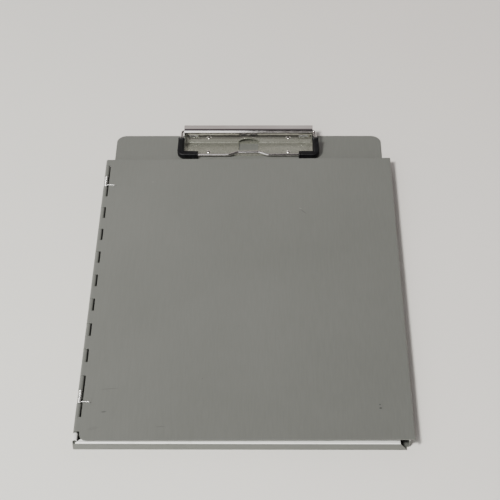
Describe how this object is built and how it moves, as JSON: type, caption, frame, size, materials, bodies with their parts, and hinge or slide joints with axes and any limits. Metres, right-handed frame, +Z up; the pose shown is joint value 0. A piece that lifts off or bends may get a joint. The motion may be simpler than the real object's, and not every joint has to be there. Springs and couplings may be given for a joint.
{
  "type": "storage clipboard",
  "caption": "Sheet-aluminium storage clipboard: shallow tray, piano-hinged sprung cover plate, and a wire lever clip with rubber corners on a rear tab.",
  "frame": {"origin": "on the resting plane, under the middle of the board's bounding box", "axes": "+X to the right, from the hinge to the skirt; +Y along the board, from the front lip to the clip; +Z up, out of the cover"},
  "size_m": [0.2286, 0.336, 0.0148],
  "materials": {
    "grey_aluminium": "satin grey anodised sheet",
    "nickel_steel": "nickel-plated steel",
    "chrome_plate": "bright chrome plate",
    "spring_steel": "bright drawn wire",
    "black_rubber": "matt moulded rubber"
  },
  "bodies": {
    "tray_body": {"tray": "grey_aluminium", "hinge_pin": "spring_steel", "hinge_spring_rear": "spring_steel", "hinge_spring_front": "spring_steel", "clip_base": "nickel_steel", "clip_rivet_front_left": "nickel_steel", "clip_rivet_front_right": "nickel_steel", "clip_rivet_rear_left": "nickel_steel", "clip_rivet_rear_right": "nickel_steel", "clip_pivot_rod": "spring_steel", "clip_spring_left": "spring_steel", "clip_spring_right": "spring_steel"},
    "cover_body": {"cover": "grey_aluminium"},
    "lever_body": {"clip_lever": "chrome_plate", "clip_wire_bow": "chrome_plate", "corner_sleeve_left": "black_rubber", "corner_sleeve_right": "black_rubber"}
  },
  "joints": [
    {"name": "cover_hinge", "type": "hinge", "parent": "tray_body", "child": "cover_body", "pos_m": [-0.1126, 0, 0.0063], "axis": [0, -1, 0], "range_deg": [0, 180], "stiffness_Nm_per_rad": 0.03, "springref_deg": -85.94, "deforming": ["hinge_spring_rear", "hinge_spring_front"]},
    {"name": "clip_pivot", "type": "hinge", "parent": "tray_body", "child": "lever_body", "pos_m": [0, 0.1615, 0.0065], "axis": [-1, 0, 0], "range_deg": [0, 35], "stiffness_Nm_per_rad": 0.2, "springref_deg": -68.75, "deforming": ["clip_spring_left", "clip_spring_right"]}
  ]
}
